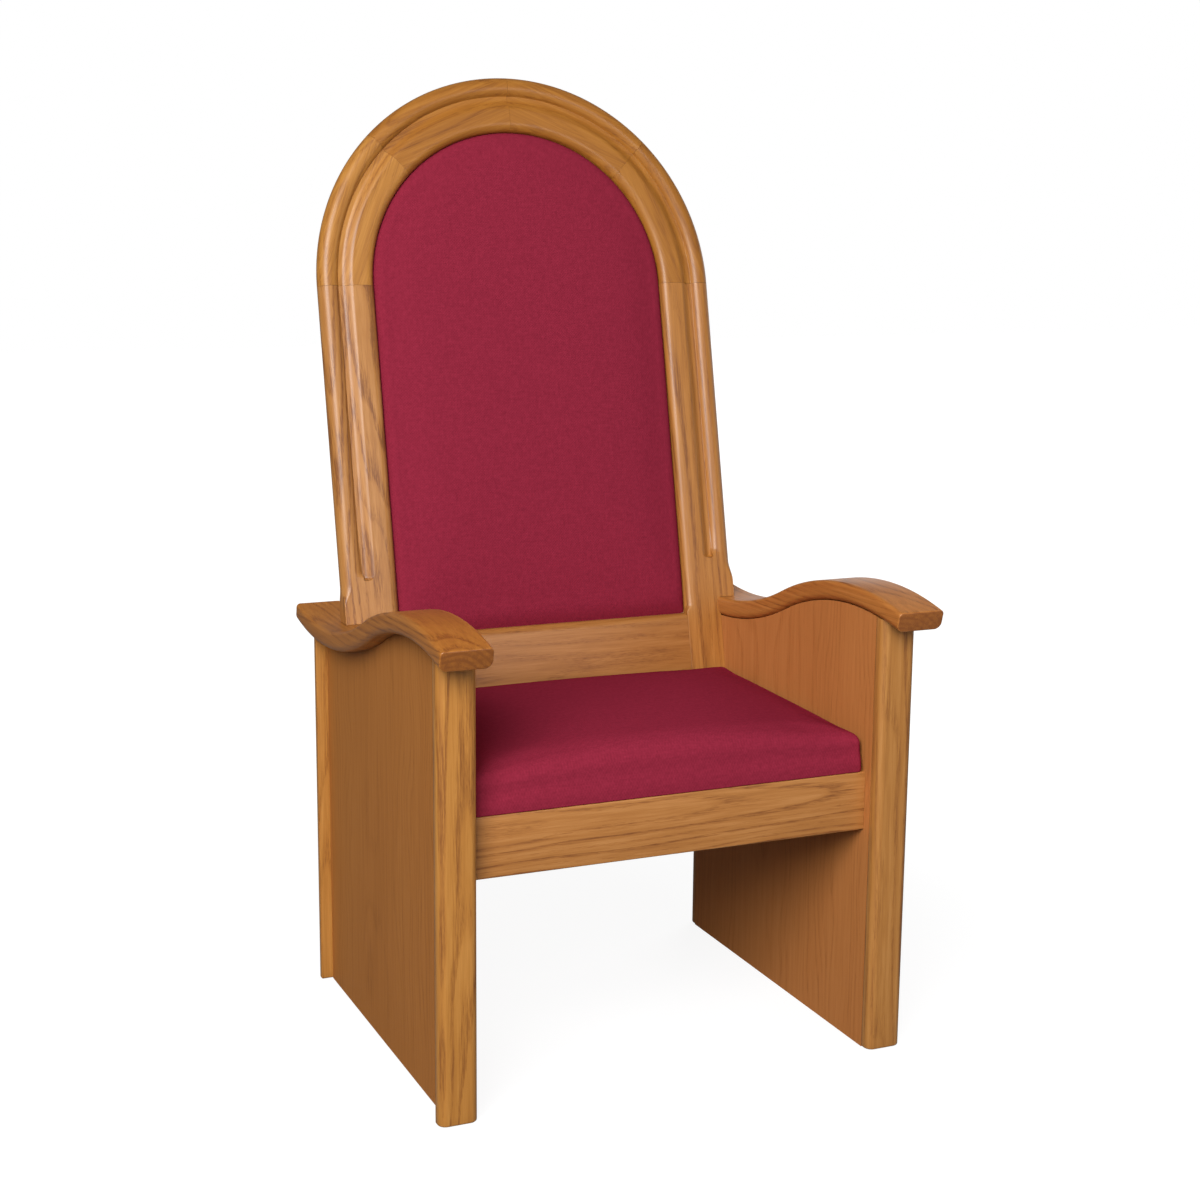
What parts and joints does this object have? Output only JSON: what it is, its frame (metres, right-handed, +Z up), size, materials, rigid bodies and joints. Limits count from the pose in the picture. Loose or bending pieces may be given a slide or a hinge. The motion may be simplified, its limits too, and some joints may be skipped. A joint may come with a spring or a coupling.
{
  "type": "celebrant chair",
  "caption": "Oak celebrant chair with slab ends, wave-shaped arm caps, a leaning arched back frame with a stopped flute, and a burgundy padded seat and back.",
  "frame": {"origin": "on the floor, under the centre of the chair's bounding box", "axes": "+Z up, +X towards the right as seen from the front, and the sitter faces -Y"},
  "size_m": [0.735, 0.7552, 1.3973],
  "materials": {
    "oak": "satin",
    "oak_veneer": "satin",
    "burgundy_fabric": "matte",
    "foam": "matte",
    "plywood": "matte",
    "hidden_hardwood": "matte",
    "beech": "matte",
    "zinc_steel": "satin"
  },
  "bodies": {
    "root": {"front_post_left": "oak", "front_post_right": "oak", "rear_post_left": "oak", "rear_post_right": "oak", "arm_cap_left": "oak", "arm_cap_right": "oak", "back_stile_left": "oak", "back_stile_right": "oak", "arch_lower_left": "oak", "arch_lower_right": "oak", "arch_upper_left": "oak", "arch_upper_right": "oak", "back_lower_rail": "oak", "seat_front_rail": "oak", "end_inner_panel_left": "oak_veneer", "end_inner_panel_right": "oak_veneer", "end_outer_panel_left": "oak_veneer", "end_outer_panel_right": "oak_veneer", "outside_back_panel": "oak_veneer", "back_cover": "burgundy_fabric", "seat_cover": "burgundy_fabric", "back_foam": "foam", "seat_foam": "foam", "back_board": "plywood", "seat_deck": "plywood", "seat_rear_rail": "hidden_hardwood", "seat_cleat_left": "hidden_hardwood", "seat_cleat_right": "hidden_hardwood", "corner_block_front_left": "hidden_hardwood", "corner_block_front_right": "hidden_hardwood", "corner_block_rear_left": "hidden_hardwood", "corner_block_rear_right": "hidden_hardwood", "front_post_spline_left": "beech", "front_post_spline_right": "beech", "rear_post_spline_left": "beech", "rear_post_spline_right": "beech", "arm_front_dowel_left": "beech", "arm_front_dowel_right": "beech", "arm_rear_dowel_left": "beech", "arm_rear_dowel_right": "beech", "rail_dowel_upper_left": "beech", "rail_dowel_upper_right": "beech", "rail_dowel_lower_left": "beech", "rail_dowel_lower_right": "beech", "crown_biscuit": "beech", "haunch_biscuit_left": "beech", "haunch_biscuit_right": "beech", "springing_biscuit_left": "beech", "springing_biscuit_right": "beech", "back_rail_tenon_left": "beech", "back_rail_tenon_right": "beech", "back_screw_upper_left": "zinc_steel", "back_screw_upper_right": "zinc_steel", "back_screw_lower_left": "zinc_steel", "back_screw_lower_right": "zinc_steel", "deck_screw_front_left": "zinc_steel", "deck_screw_front_right": "zinc_steel", "deck_screw_rear_left": "zinc_steel", "deck_screw_rear_right": "zinc_steel"}
  },
  "joints": []
}
